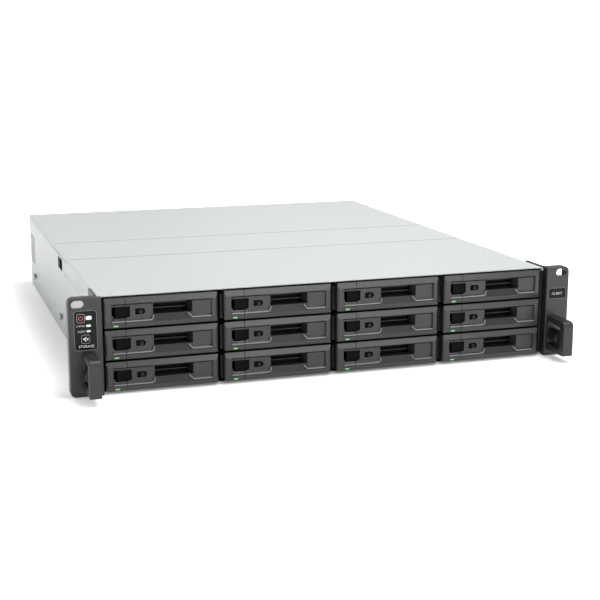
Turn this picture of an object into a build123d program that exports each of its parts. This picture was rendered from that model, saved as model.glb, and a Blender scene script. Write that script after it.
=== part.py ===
"""A two-unit rack-mount network attached storage with twelve hot-swap drive trays.

Units are millimetres. X runs across the front, Y runs from the front to the back, and Z is up. The
model is drawn with Y = 0 on the front face of the ears, and is moved back along Y as it is written,
so that the origin is the bottom centre of the whole unit.
"""
import os
from math import cos, pi, sin

from build123d import *

# Overall size
RACK_WIDTH = 482.0
BODY_WIDTH = 430.5
UNIT_HEIGHT = 88.0
BODY_DEPTH = 520.0
REAR_FACE = 518.0
HANDLE_REACH = 32.0
ORIGIN_SHIFT = HANDLE_REACH - (BODY_DEPTH + HANDLE_REACH) / 2

# Sheet metal
SHEET = 1.2
BEND = 1.8
PAN_FRONT = 5.0
PAN_LIP = 2.0
WALL_FRONT = 12.1
COVER_TOP = 87.2
COVER_UNDER = COVER_TOP - 0.8
SEAM = 0.4
FRONT_SEAM = 188.4
REAR_SEAM = 290.2
FRONT_FLANGE_END = 208.0
FRONT_WALL_TOP = 69.7
REAR_WALL_TOP = 83.4
FRONT_FLANGE_BOTTOM = 70.9
WALL_OUT = BODY_WIDTH / 2
WALL_IN = WALL_OUT - SHEET

# Drive trays: four columns and three rows
COLUMNS = 4
ROWS = 3
COLUMN_PITCH = 106.5
ROW_PITCH = 28.2
MIDDLE_ROW = 43.85
BEZEL_WIDTH = 100.8
BEZEL_HEIGHT = 26.9
LEVER_DEPTH = 9.5
PLATE_FRONT = 10.4
PLATE_BACK = 12.4
SEAM_X = -31.9
RECESS = 2.0
LIP_LOW = -7.95
VENT_X = (-7.4, 23.9)
VENT_Z = (-2.7, 7.5)
TRAY_RAIL_IN = 50.95
TRAY_RAIL_OUT = 51.9
TRAY_RAIL_END = 160.0
HINGE_X = 47.2
HINGE_Y = 5.2
PIN_RADIUS = 1.0
LUG_LOW = -8.2
LUG_HIGH = -2.7
DRIVE_WIDTH = 101.6
DRIVE_LENGTH = 147.0
DRIVE_HEIGHT = 26.1
DRIVE_FRONT = 15.0
BUTTON_X = (-40.4, -28.2)
BUTTON_Z = (-4.7, 4.9)

# Drive cage and backplane
CAGE_FRONT = 12.0
CAGE_BACK = 168.5
BACKPLANE_FRONT = 170.2
BACKPLANE_BACK = 172.2

# Ears, handles and control panel
EAR_DEPTH = 12.0
EAR_SKIN = 2.6
EAR_BOTTOM = 0.3
EAR_TOP = 87.5
LEFT_EAR_INNER = -212.0
RIGHT_EAR_INNER = 217.0
BRACKET = 2.0
BRACKET_BACK = 42.0
FLANGE_OUT = 217.0
SLOT_X = 465.1 / 2
SLOT_Z = 82.1
SLOT_LENGTH = 11.0
SLOT_WIDTH = 7.0
HANDLE_X = 224.3
HANDLE_WIDTH = 10.4
HANDLE_LOW = 6.5
HANDLE_HIGH = 40.0
CAPTIVE_Z = 22.2
CAPTIVE_RADIUS = 2.2
KNOB_RADIUS = 5.9
FASCIA_X = (-235.7, -217.1)
FASCIA_Z = (42.3, 76.2)
POWER_X = (-234.2, -226.2)
POWER_Z = (65.7, 74.5)
MUTE_X = (-230.7, -222.3)
MUTE_Z = (47.4, 56.0)
FASCIA_LIGHTS = (
    ((-225.9, -220.8), (68.5, 71.8), 1.2),
    ((-225.5, -221.8), (62.4, 64.2), 0.5),
    ((-225.5, -221.8), (57.7, 59.4), 0.5),
)
NAMEPLATE_X = (219.6, 238.3)
NAMEPLATE_Z = (56.4, 66.8)

# Cooling
FAN_SIZE = 80.0
FAN_THICK = 32.0
FAN_FRONT = 206.0
FAN_X = (-140.0, 0.0, 140.0)
FAN_Z = 42.6
FAN_BORE = 38.2
HUB_RADIUS = 17.0
ROTOR_RADIUS = 37.2
BLADES = 7

# Side wall features
LATCH_Y = (222.5, 252.5)
LATCH_Z = (69.0, 81.0)
LATCH_TAB_Y = (238.5, 252.1)
STUD_Y = (20.0, 239.0, 468.0)
STUD_Z = 18.7
SIDE_VENT_Y = (468.0, 508.0)
SIDE_VENT_Z = (32.0, 67.0)

# Rear wall, seen from behind: the power supply is at the left, which is +X
PANEL_FRONT = REAR_FACE - SHEET
PANEL_HALF = WALL_IN - 0.15
PSU_X = (104.0, 206.0)
PSU_Z = (2.6, 43.0)
PSU_FRONT = 330.0
INLET_X = 180.0
INLET_Z = 22.5
PSU_FAN_X = 131.0
BOARD_X = (-206.0, 92.0)
BOARD_Y = (296.0, 512.0)
BOARD_Z = (8.0, 9.6)
RJ45_X = (62.0, 44.0, 16.0)
RJ45_SIZE = (15.6, 13.2)
USB_X = -10.0
USB_SIZE = (14.2, 15.6)
EXPANSION_X = -42.0
EXPANSION_SIZE = (30.0, 9.0)
CONSOLE_X = -72.0
PORT_WINDOW_X = (-80.8, 71.8)
PORT_WINDOW_Z = (9.0, 27.8)
PORT_SEAMS = (71.7, 53.0, 30.0, 3.5, -23.0, -60.5, -80.7)
SLOT_COVER_X = (-199.0, -92.0)
SLOT_COVER_Z = (54.0, 74.0)

# A sketch plane on the front, looking into the unit: its second axis points down
FRONT = Plane(origin=(0, 0, 0), x_dir=(1, 0, 0), z_dir=(0, 1, 0))


def block(x, y, z):
    """A box between the two ends given for each axis."""
    size = [end[1] - end[0] for end in (x, y, z)]
    middle = [(end[0] + end[1]) / 2 for end in (x, y, z)]
    return Pos(*middle) * Box(*size)


def outline(x, z, radius=0.0):
    """A rectangle in X and Z, with round corners if a radius is given."""
    width, height = x[1] - x[0], z[1] - z[0]
    shape = RectangleRounded(width, height, radius) if radius else Rectangle(width, height)
    return Pos((x[0] + x[1]) / 2, (z[0] + z[1]) / 2) * shape


def prism(sketch, y):
    """A sketch in X and Z, made solid between two values of Y."""
    return Pos(0, y[1], 0) * extrude(Plane.XZ * sketch, amount=y[1] - y[0])


def rod(x, z, radius, y):
    """A round bar along Y."""
    return prism(Pos(x, z) * Circle(radius), y)


def cross_rod(y, z, radius, x):
    """A round bar along X."""
    return Pos((x[0] + x[1]) / 2, y, z) * Rot(0, 90, 0) * Cylinder(radius, x[1] - x[0])


def write(name, *solids):
    """Writes one node, moved so that the origin is at the bottom centre of the unit."""
    node = Compound(children=[s for shape in solids for s in shape.solids()])
    export_step(node.moved(Location((0, ORIGIN_SHIFT, 0))), f"parts/{name}.step")


def mirrored(shape):
    return mirror(shape, about=Plane.YZ)


# ---------------------------------------------------------------- drive trays

def bezel_block():
    """The outer form of a tray front: sloping top and bottom rails and rounded ends."""
    half_w, half_h = BEZEL_WIDTH / 2, BEZEL_HEIGHT / 2
    side = Polyline((0, -8.9), (1.5, -half_h + 0.45), (2.4, -half_h), (LEVER_DEPTH, -half_h),
                    (LEVER_DEPTH, half_h), (2.6, half_h), (1.9, half_h - 0.3), (0, 8.3), close=True)
    bar = Pos(-half_w, 0, 0) * extrude(Plane.YZ * make_face(side), amount=BEZEL_WIDTH)
    plan = make_face(Polyline((-half_w, 1.6), (-half_w + 1.6, 0), (half_w - 2.2, 0), (half_w - 0.4, 1.6),
                              (half_w, 3.2), (half_w, LEVER_DEPTH), (-half_w, LEVER_DEPTH), close=True))
    ends = extrude(Plane.XY * plan, amount=half_h + 1, both=True)
    front = prism(outline((-half_w, half_w), (-half_h, half_h), 2.0), (-1, LEVER_DEPTH + 1))
    return bar & ends & front


def sloped_pocket(points, rounded=None):
    """A pocket in the front whose sides slope in at 45 degrees. Points are in X and Z."""
    face = make_face(Polyline(*[(x, -z) for x, z in points], close=True))
    if rounded:
        corner = face.vertices().sort_by_distance((rounded[0], -rounded[1], 0))[0]
        face = fillet(corner, rounded[2])
    return extrude(FRONT * face, amount=RECESS, taper=45)


def front_recess():
    """The recess in a tray front, with its sloping lower lip and the shadow groove under the top rail."""
    high = 8.05
    corner = (-7.1, LIP_LOW)
    left = sloped_pocket([(-44.4, high), (-44.4, LIP_LOW), corner, (-7.1, high)], (*corner, 3.7))
    right = sloped_pocket([(22.9, high), (22.9, -3.4), (27.4, LIP_LOW), (44.8, LIP_LOW), (44.8, high)])
    straight = block((-44.4, -9.1), (-1, RECESS), (LIP_LOW + RECESS, high))
    straight += block((-10, 44.8), (-1, RECESS), (-3.3, high))
    straight += block((29.0, 44.8), (-1, RECESS), (LIP_LOW + RECESS, high))
    groove = prism(outline((-43.9, 44.3), (6.9, high), 0.5), (-1, 4.6))
    return [left, right, straight, groove]


def finger_grip():
    """The opening in front of the vents, with a shallow ramp below and a slanting wall at the right."""
    ramp = make_face(Polyline((-1, -11.9), (2.2, VENT_Z[0]), (2.2, 0), (-1, 0), close=True))
    tool = Pos(-7.1, 0, 0) * extrude(Plane.YZ * ramp, amount=34.5)
    slant = make_face(Polyline((VENT_X[0], 1.9), (27.6, 1.9), (VENT_X[1], 8.6), (VENT_X[0], 8.6),
                               close=True))
    tool += Pos(0, 0, VENT_Z[0]) * extrude(Plane.XY * slant, amount=8.05 - VENT_Z[0])
    return tool + block(VENT_X, (7, 12), VENT_Z)


def button_window():
    """The opening for the release button, with one corner cut off and a sloping sill."""
    low, high = (-43.6, -5.1), (-27.7, 5.4)
    shape = make_face(Polyline(low, (-31.9, low[1]), (high[0], -3.4), high, (low[0], high[1]), close=True))
    sill = make_face(Polyline((1.9, low[1] - 0.8), (2.8, low[1] + 0.1), (1.9, low[1] + 0.1), close=True))
    return prism(shape, (-1, LEVER_DEPTH + 0.5)) + Pos(low[0], 0, 0) * extrude(Plane.YZ * sill, amount=11.7)


def lever():
    """The latch lever, which turns on a pin at its right end."""
    body = bezel_block() & block((SEAM_X + 0.15, 60), (-1, 20), (-20, 20))
    body = body - front_recess() - finger_grip() - button_window()
    keyhole = outline((-23.1, -17.0), (-2.2, 3.05), 0.6) + Pos(-17.0, 0.42) * Circle(2.62)
    body -= prism(keyhole, (-1, 4.2))
    body -= block((44.9, 52), (3.0, 12), (LUG_LOW - 0.3, LUG_HIGH + 0.3))
    rear_right = body.edges().filter_by(Axis.Z).filter_by_position(Axis.X, 50.3, 50.5)
    rear_right = rear_right.filter_by_position(Axis.Y, LEVER_DEPTH - 0.1, LEVER_DEPTH + 0.1)
    body = fillet(rear_right, 2.8)
    pin_bore = Pos(HINGE_X, HINGE_Y, -5.4) * Cylinder(PIN_RADIUS + 0.08, 13)
    barrel = rod(-17.9, -0.2, 1.9, (2.6, 4.3)) - block((-19.2, -16.6), (2.0, 3.1), (-0.5, 0.1))
    return body - pin_bore + barrel


def fixed_end():
    """The fixed end of a tray front, with the catch that holds the lever shut."""
    end = bezel_block() & block((-60, SEAM_X - 0.15), (-1, 20), (-20, 20))
    end = end - front_recess() - button_window()
    catch = make_face(Polyline((-43.8, -2.3), (-42.7, -2.6), (-41.5, -5.3), (-43.8, -5.3), close=True))
    end += prism(catch, (2.8, 6.0))
    half_w, half_h = BEZEL_WIDTH / 2, BEZEL_HEIGHT / 2 - 0.35
    for z in ((-half_h, -5.6), (5.9, half_h)):
        end += block((-half_w, SEAM_X - 2.0), (LEVER_DEPTH - 0.1, PLATE_FRONT - 0.05), z)
    return end - block((-42.35, -38.35), (0, 3.05), (-11.95, -10.65))


def sled():
    """The sled behind a tray front: a vented plate and two side rails, with pegs that hold the drive."""
    half_w, half_h = BEZEL_WIDTH / 2, BEZEL_HEIGHT / 2 - 0.35
    frame = block((-half_w, half_w), (PLATE_FRONT, PLATE_BACK), (-half_h, half_h))
    for low, high in ((5.7, 8.2), (1.2, 4.9), (-3.3, 0.4)):
        frame -= prism(outline((-9, 26), (low, high)), (10, 13))
    frame -= prism(outline((-42.6, -28.4), (-4.0, 4.3)), (10, 13))
    for side in (-1, 1):
        rail = block(sorted((side * TRAY_RAIL_IN, side * TRAY_RAIL_OUT)), (PLATE_FRONT, TRAY_RAIL_END),
                     (-12.9, 9.5))
        rail -= cross_rod(85, 3.0, 4.0, sorted((side * 49, side * 54)))
        foot = block(sorted((side * 49, side * TRAY_RAIL_OUT)), (PLATE_FRONT, PLATE_BACK), (-12.9, 9.5))
        pegs = [cross_rod(DRIVE_FRONT + reach, -6.6, 1.4, sorted((side * 48.5, side * TRAY_RAIL_IN)))
                for reach in (28.5, 130.1)]
        frame += rail + foot + pegs
    return frame


def hinge_lug():
    """The lug on the front of the sled that holds the lever's pin."""
    arm = Pos(HINGE_X, (HINGE_Y + PLATE_FRONT - 0.05) / 2) * Rectangle(4.0, PLATE_FRONT - 0.05 - HINGE_Y)
    shape = Pos(HINGE_X, HINGE_Y) * Circle(2.0) + arm - Pos(HINGE_X, HINGE_Y) * Circle(PIN_RADIUS)
    return Pos(0, 0, LUG_LOW) * extrude(Plane.XY * shape, amount=LUG_HIGH - LUG_LOW)


def hinge_pin():
    return Pos(HINGE_X, HINGE_Y, -5.4) * Cylinder(PIN_RADIUS - 0.02, 12)


def light_pipe():
    """The activity light, which shines through the sloping lower rail."""
    return block((-42.3, -38.4), (0.85, 3.0), (-11.9, -10.7))


def hard_drive():
    """A 3.5 inch drive with a raised lid and its connector notch."""
    half = DRIVE_WIDTH / 2
    back = DRIVE_FRONT + DRIVE_LENGTH
    case = block((-half, half), (DRIVE_FRONT, back), (-13.0, DRIVE_HEIGHT - 14.6))
    case = chamfer(case.edges().filter_by(Axis.Z), 1.5)
    lid = prism(outline((-half + 2, half - 2), (11.4, DRIVE_HEIGHT - 13.0), 0.6),
                (DRIVE_FRONT + 3, back - 8))
    drive = case + lid
    drive -= block((-10, 32), (back - 6, back + 1), (-13.5, -6.5))
    for side in (-1, 1):
        for reach in (28.5, 130.1):
            drive -= cross_rod(DRIVE_FRONT + reach, -6.6, 1.6, sorted((side * 48, side * 52)))
    return drive


def release_button():
    """The push button that frees the lever, with a dished face and one corner cut off."""
    low, high = (BUTTON_X[0], BUTTON_Z[0]), (BUTTON_X[1], BUTTON_Z[1])
    shape = make_face(Polyline(low, (-32.4, low[1]), (high[0], -2.9), high, (low[0], high[1]), close=True))
    button = prism(shape, (3.0, 7.8))
    button = fillet(button.edges().filter_by(Axis.Y), 0.6)
    button -= Pos(sum(BUTTON_X) / 2, -24.2, 0) * Cylinder(28.0, 20)
    stem = prism(outline((BUTTON_X[0] + 2, BUTTON_X[1] - 2), (-3.2, 3.4)), (7.0, 12.2))
    return button + stem


def write_trays():
    carrier = [fixed_end(), sled(), hinge_lug(), hinge_pin(), light_pipe(), hard_drive()]
    arm, push = lever(), release_button()
    number = 0
    for row in range(ROWS):
        for column in range(COLUMNS):
            number += 1
            bay = Pos((column - (COLUMNS - 1) / 2) * COLUMN_PITCH, 0, MIDDLE_ROW + (1 - row) * ROW_PITCH)
            write(f"tray_{number:02d}", *[bay * solid for solid in carrier])
            write(f"tray_lever_{number:02d}", bay * arm)
            write(f"tray_button_{number:02d}", bay * push)


# ---------------------------------------------------------------- chassis and covers

def side_vents(x):
    """Three staggered columns of short slots near the back of a side wall."""
    slots = []
    rows = 8
    pitch = (SIDE_VENT_Z[1] - SIDE_VENT_Z[0]) / rows
    for column in range(3):
        for row in range(rows):
            y = SIDE_VENT_Y[0] + 7 + column * 13 - (row % 2) * 3
            z = SIDE_VENT_Z[0] + pitch * (row + 0.5)
            slot = Plane.YZ * (Pos(y, z) * SlotOverall(10.0, 2.2))
            slots.append(Pos(x[0], 0, 0) * extrude(slot, amount=x[1] - x[0]))
    return slots


def chassis_base():
    """The folded pan: floor and two side walls, with studs for the slide rails."""
    shell = block((-WALL_OUT, WALL_OUT), (PAN_FRONT, PANEL_FRONT), (0, REAR_WALL_TOP))
    shell = fillet(shell.edges().filter_by(Axis.Y).filter_by_position(Axis.Z, -0.1, 0.1), BEND)
    inside = block((-WALL_IN, WALL_IN), (0, BODY_DEPTH + 5), (SHEET, REAR_WALL_TOP + 5))
    inside = fillet(inside.edges().filter_by(Axis.Y).filter_by_position(Axis.Z, SHEET - 0.1, SHEET + 0.1),
                    BEND - SHEET)
    shell -= inside
    shell -= block((-WALL_OUT - 1, WALL_OUT + 1), (0, FRONT_FLANGE_END + 1), (FRONT_WALL_TOP, UNIT_HEIGHT))
    shell -= block((-WALL_OUT - 1, WALL_OUT + 1), (0, WALL_FRONT), (PAN_LIP + 1, UNIT_HEIGHT))
    shell += block((-WALL_IN - 0.2, WALL_IN + 0.2), (PAN_FRONT, PAN_FRONT + SHEET), (SHEET - 0.2, PAN_LIP))
    cuts = []
    for side in (-1, 1):
        reach = sorted((side * (WALL_IN - 1), side * (WALL_OUT + 1)))
        cuts += side_vents(reach)
        cuts.append(block(reach, LATCH_Y, LATCH_Z))
        cuts += [cross_rod(257.5, 63.7, 1.4, reach), cross_rod(288.0, 21.8, 1.6, reach)]
    shell -= cuts
    for side in (-1, 1):
        for y in STUD_Y[1:]:
            shell += cross_rod(y, STUD_Z, 2.4, sorted((side * (WALL_OUT - 0.6), side * (WALL_OUT + 1.8))))
            shell += cross_rod(y, STUD_Z, 4.0, sorted((side * (WALL_OUT + 1.6), side * (WALL_OUT + 3.0))))
        ledge = block(sorted((side * (WALL_IN - 8), side * (WALL_IN + 0.3))), (262, PANEL_FRONT - 4),
                      (REAR_WALL_TOP - SHEET, REAR_WALL_TOP))
        shell += ledge
    return shell


def cover_plate(y):
    """A flat top with round folded edges and no flanges below the fold."""
    plate = block((-WALL_OUT, WALL_OUT), y, (COVER_UNDER - 2.4, COVER_TOP))
    folds = plate.edges().filter_by(Axis.Y).group_by(Axis.Z)[-1]
    plate = fillet(folds, BEND)
    return plate - block((-WALL_IN, WALL_IN), (y[0] - 1, y[1] + 1), (0, COVER_UNDER))


def front_cover():
    """The fixed cover over the drive bays. Its sides are flush with the walls below them."""
    cover = cover_plate((PAN_FRONT, FRONT_SEAM))
    for side in (-1, 1):
        x = sorted((side * WALL_IN, side * WALL_OUT))
        cover += block(x, (WALL_FRONT, FRONT_SEAM), (FRONT_FLANGE_BOTTOM, COVER_UNDER - 2))
        cover += block(x, (FRONT_SEAM - 1, FRONT_FLANGE_END), (FRONT_FLANGE_BOTTOM, COVER_UNDER - 3))
    return cover


def fan_cover():
    """The middle cover, which lifts out for changing a fan."""
    cover = cover_plate((FRONT_SEAM + SEAM, REAR_SEAM))
    for side in (-1, 1):
        edge = sorted((side * (WALL_IN - 1), side * (WALL_OUT + 1)))
        cover -= block(edge, (180, 300), (80, REAR_WALL_TOP + 0.8))
        x = sorted((side * (WALL_IN - 3.2), side * (WALL_IN - 0.4)))
        cover += block(x, (222, 256), (LATCH_Z[1] + 0.6, COVER_UNDER + 0.2))
    return cover


def rear_cover():
    cover = cover_plate((REAR_SEAM + SEAM, REAR_FACE))
    for side in (-1, 1):
        edge = sorted((side * (WALL_IN - 1), side * (WALL_OUT + 1)))
        cover -= block(edge, (280, BODY_DEPTH + 5), (80, REAR_WALL_TOP + 0.3))
    return cover


def cover_latch():
    """The sliding latch in the left wall that holds the fan cover down."""
    tab = block((-WALL_OUT - 0.4, -WALL_IN + 0.4), LATCH_TAB_Y, (LATCH_Z[0] + 0.4, LATCH_Z[1] - 0.4))
    tab = fillet(tab.faces().sort_by(Axis.X)[0].edges(), 0.35)
    for step in range(3):
        y = LATCH_TAB_Y[0] + 3.2 + step * 2.8
        tab -= block((-WALL_OUT - 1, -WALL_OUT + 0.1), (y, y + 1.2), (LATCH_Z[0] + 2, LATCH_Z[1] - 2))
    slider = block((-WALL_IN + 0.3, -WALL_IN + 1.1), (234.0, 259.0), (LATCH_Z[0] - 2, LATCH_Z[1] + 0.2))
    return tab + slider


# ---------------------------------------------------------------- cage, backplane and cooling

def drive_cage():
    """Five upright walls with ledges under each tray, tied by a floor strip and a slotted back wall."""
    cage = block((-213.6, 213.6), (14, CAGE_BACK + SHEET), (SHEET + 0.15, SHEET + 0.7))
    for side in (-1, 1):
        flange_x = sorted((side * 212.4, side * (WALL_OUT - 0.05)))
        wall_x = sorted((side * 212.4, side * 213.6))
        cage += block(flange_x, (CAGE_FRONT - 1.2, CAGE_FRONT - 0.1), (PAN_LIP + 1, COVER_UNDER - 2.6))
        cage += block(wall_x, (CAGE_FRONT - 1.2, CAGE_FRONT + 0.1), (PAN_LIP + 1, 85.6))
    cage += block((-213.6, 213.6), (CAGE_BACK, CAGE_BACK + SHEET), (SHEET + 0.15, 85.6))
    for wall in range(COLUMNS + 1):
        x = (wall - COLUMNS / 2) * COLUMN_PITCH
        cage += block((x - 0.6, x + 0.6), (CAGE_FRONT, CAGE_BACK + 0.2), (SHEET + 0.15, 85.6))
        for row in range(ROWS):
            under = MIDDLE_ROW + (row - 1) * ROW_PITCH - 13.9
            low = x - 2.2 if wall > 0 else x
            high = x + 2.2 if wall < COLUMNS else x
            cage += block((low, high), (CAGE_FRONT + 6, CAGE_BACK - 4), (under, under + 0.7))
    windows = []
    for row in range(ROWS):
        for column in range(COLUMNS):
            x = (column - (COLUMNS - 1) / 2) * COLUMN_PITCH
            z = MIDDLE_ROW + (row - 1) * ROW_PITCH
            windows.append(block((x - 44, x + 44), (160, 175), (z - 12.5, z - 5.5)))
            windows.append(block((x - 44, x + 44), (160, 175), (z - 2.0, z + 11)))
    return cage - windows


def backplane():
    """The circuit board behind the drives, with air holes and one connector for each drive."""
    board = block((-210, 210), (BACKPLANE_FRONT, BACKPLANE_BACK), (3.0, 84.6))
    holes = []
    for row in range(ROWS):
        for column in range(COLUMNS):
            x = (column - (COLUMNS - 1) / 2) * COLUMN_PITCH
            z = MIDDLE_ROW + (row - 1) * ROW_PITCH
            holes.append(prism(outline((x - 42, x + 42), (z - 1.5, z + 10.5), 2.0), (160, 175)))
    board -= holes
    connectors = []
    for row in range(ROWS):
        for column in range(COLUMNS):
            x = (column - (COLUMNS - 1) / 2) * COLUMN_PITCH + 11
            z = MIDDLE_ROW + (row - 1) * ROW_PITCH - 9.3
            connectors.append(block((x - 20, x + 20), (164.0, BACKPLANE_FRONT - 0.05), (z - 2.6, z + 2.6)))
    return [board] + connectors


def fan_frame(x):
    """A square fan housing with a round duct, a motor mount and four spokes."""
    half = FAN_SIZE / 2
    frame = prism(outline((x - half, x + half), (FAN_Z - half, FAN_Z + half), 4.0),
                  (FAN_FRONT, FAN_FRONT + FAN_THICK))
    frame -= rod(x, FAN_Z, FAN_BORE, (FAN_FRONT - 1, FAN_FRONT + FAN_THICK + 1))
    through = (FAN_FRONT - 1, FAN_FRONT + FAN_THICK + 1)
    spoke_y = (FAN_FRONT + FAN_THICK - 3, FAN_FRONT + FAN_THICK)
    for sx in (-1, 1):
        for sz in (-1, 1):
            frame -= rod(x + sx * 35.75, FAN_Z + sz * 35.75, 2.2, through)
    spokes = rod(x, FAN_Z, HUB_RADIUS, spoke_y)
    for angle in (45, 135):
        bar = block((-FAN_BORE - 0.8, FAN_BORE + 0.8), spoke_y, (-2, 2))
        spokes += Pos(x, 0, FAN_Z) * Rot(0, angle, 0) * bar
    spokes -= rod(x, FAN_Z, 2.1, (FAN_FRONT, FAN_FRONT + FAN_THICK + 1))
    return frame + spokes


def fan_rotor(x):
    """A hub with seven pitched blades on a short shaft."""
    back = FAN_FRONT + FAN_THICK - 3.4
    rotor = fillet(rod(0, 0, HUB_RADIUS, (FAN_FRONT + 3, back)).edges().sort_by(Axis.Y)[0], 2.0)
    blade = Pos((HUB_RADIUS + ROTOR_RADIUS) / 2 - 0.7, FAN_FRONT + 15, 0) * Rot(42, 0, 0)
    blade = blade * Box(ROTOR_RADIUS - HUB_RADIUS + 1.4, 1.3, 25)
    for index in range(BLADES):
        rotor += Rot(0, index * 360 / BLADES, 0) * blade
    rotor = rotor & rod(0, 0, ROTOR_RADIUS, (FAN_FRONT + 2, back))
    rotor += rod(0, 0, 2.0, (back - 0.5, FAN_FRONT + FAN_THICK - 0.2))
    return Pos(x, 0, FAN_Z) * rotor


# ---------------------------------------------------------------- ears, handles and controls

def ear_cover(x, outer_left):
    """A moulded cap, open at the back, with round outer corners and the rack slot."""
    cap = prism(outline(x, (EAR_BOTTOM, EAR_TOP)), (0, EAR_DEPTH - BRACKET - 0.1))
    outer = x[0] if outer_left else x[1]
    corners = cap.edges().filter_by(Axis.Y).filter_by_position(Axis.X, outer - 0.1, outer + 0.1)
    cap = fillet(corners, 5.0)
    front = cap.faces().sort_by(Axis.Y)[0]
    cap = fillet(front.edges(), 0.9)
    inside_x = (x[0] + EAR_SKIN, x[1] - EAR_SKIN)
    inside_z = (EAR_BOTTOM + EAR_SKIN, EAR_TOP - EAR_SKIN)
    hollow = prism(outline(inside_x, inside_z, 3.0), (EAR_SKIN + 1.2, EAR_DEPTH))
    return cap - hollow


def ear_bracket(side):
    """The folded steel angle behind an ear: a plate for the rack post and a flange on the side wall."""
    plate = block(sorted((side * (RACK_WIDTH / 2 - 1.2), side * (WALL_OUT + 0.1))),
                  (EAR_DEPTH - BRACKET, EAR_DEPTH), (EAR_BOTTOM + 1, EAR_TOP - 0.6))
    corners = plate.edges().filter_by(Axis.Y).group_by(Axis.X)[-1 if side > 0 else 0]
    plate = fillet(corners, 4.0)
    flange_x = sorted((side * (WALL_OUT + 0.1), side * FLANGE_OUT))
    flange = block(flange_x, (EAR_DEPTH - BRACKET, BRACKET_BACK), (EAR_BOTTOM + 1, UNIT_HEIGHT))
    ends = flange.edges().filter_by(Axis.X).group_by(Axis.Y)[-1]
    flange = fillet(ends, 3.5)
    around_slot = sorted((side * (SLOT_X - 9.5), side * (SLOT_X + 9.5)))
    return plate + flange - block(around_slot, (0, EAR_DEPTH + 1), (SLOT_Z - 7.5, UNIT_HEIGHT + 1))


def rack_slot(side):
    return prism(Pos(side * SLOT_X, SLOT_Z) * SlotOverall(SLOT_LENGTH, SLOT_WIDTH), (-1, EAR_DEPTH + 1))


def captive_bore(side):
    return rod(side * HANDLE_X, CAPTIVE_Z, CAPTIVE_RADIUS + 0.1, (-1, EAR_DEPTH + 1))


def left_ear():
    cap = ear_cover((-RACK_WIDTH / 2, LEFT_EAR_INNER), True)
    boss = rod(-HANDLE_X, CAPTIVE_Z, 4.5, (2, EAR_DEPTH - BRACKET - 0.1))
    window = outline((FASCIA_X[0] - 0.3, FASCIA_X[1] + 0.3), (FASCIA_Z[0] - 0.3, FASCIA_Z[1] + 0.3), 2.6)
    cap = cap + boss - prism(window, (-1, 1.7))
    cap -= prism(outline(POWER_X, POWER_Z, 2.0), (0, EAR_DEPTH))
    cap -= prism(outline(MUTE_X, MUTE_Z, 2.0), (0, EAR_DEPTH))
    cap = cap - rack_slot(-1) - captive_bore(-1)
    wall = block((-WALL_OUT - 0.1, LEFT_EAR_INNER + 1), (PAN_FRONT - 0.3, EAR_DEPTH), (0, UNIT_HEIGHT + 1))
    cap -= wall
    return cap, ear_bracket(-1) - rack_slot(-1) - captive_bore(-1)


def right_ear():
    cap = ear_cover((RIGHT_EAR_INNER, RACK_WIDTH / 2), False)
    boss = rod(HANDLE_X, CAPTIVE_Z, 4.5, (2, EAR_DEPTH - BRACKET - 0.1))
    cap = cap + boss - prism(outline(NAMEPLATE_X, NAMEPLATE_Z, 2.0), (-1, 1.2))
    cap = cap - rack_slot(1) - captive_bore(1)
    return cap, ear_bracket(1) - rack_slot(1) - captive_bore(1)


def pull_handle(side):
    """A loop handle on the lower half of an ear."""
    path = Polyline((0, HANDLE_LOW), (-HANDLE_REACH, HANDLE_LOW), (-HANDLE_REACH, HANDLE_HIGH),
                    (0, HANDLE_HIGH), close=True)
    x = side * HANDLE_X - HANDLE_WIDTH / 2
    handle = Pos(x, 0, 0) * extrude(Plane.YZ * make_face(path), amount=HANDLE_WIDTH)
    top_edge = handle.edges().filter_by(Axis.X).group_by(Axis.Y)[0].sort_by(Axis.Z)
    handle = fillet(top_edge[-1], 5.0)
    low_edge = handle.edges().filter_by(Axis.X).group_by(Axis.Y)[0].sort_by(Axis.Z)
    handle = fillet(low_edge[0], 2.0)
    loop = Polyline((-2, 14.0), (-16, 12.5), (-24.5, 12.5), (-24.5, 33.5), (-12, 34.5), (-2, 34.5),
                    close=True)
    opening = Pos(x - 1, 0, 0) * extrude(Plane.YZ * make_face(loop), amount=HANDLE_WIDTH + 2)
    handle -= opening
    rim = handle.edges().filter_by_position(Axis.X, x - 0.01, x + 0.01)
    rim += handle.edges().filter_by_position(Axis.X, x + HANDLE_WIDTH - 0.01, x + HANDLE_WIDTH + 0.01)
    handle = fillet([e for e in rim if e.center().Y < -0.5], 0.8)
    root = rod(side * HANDLE_X, CAPTIVE_Z, CAPTIVE_RADIUS + 0.1, (-3, 1))
    return handle - root


def captive_screw(side):
    """The knurled screw behind a handle, held in the ear."""
    x = side * HANDLE_X
    knob = fillet(rod(x, CAPTIVE_Z, KNOB_RADIUS, (-18.0, -2.6)).edges().sort_by(Axis.Y)[0], 0.8)
    ring = KNOB_RADIUS + 0.5
    flutes = [rod(x + ring * cos(i * pi / 9), CAPTIVE_Z + ring * sin(i * pi / 9), 0.8, (-17.0, -3.4))
              for i in range(18)]
    return knob - flutes + rod(x, CAPTIVE_Z, CAPTIVE_RADIUS, (-3.0, EAR_DEPTH + 6.0))


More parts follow.
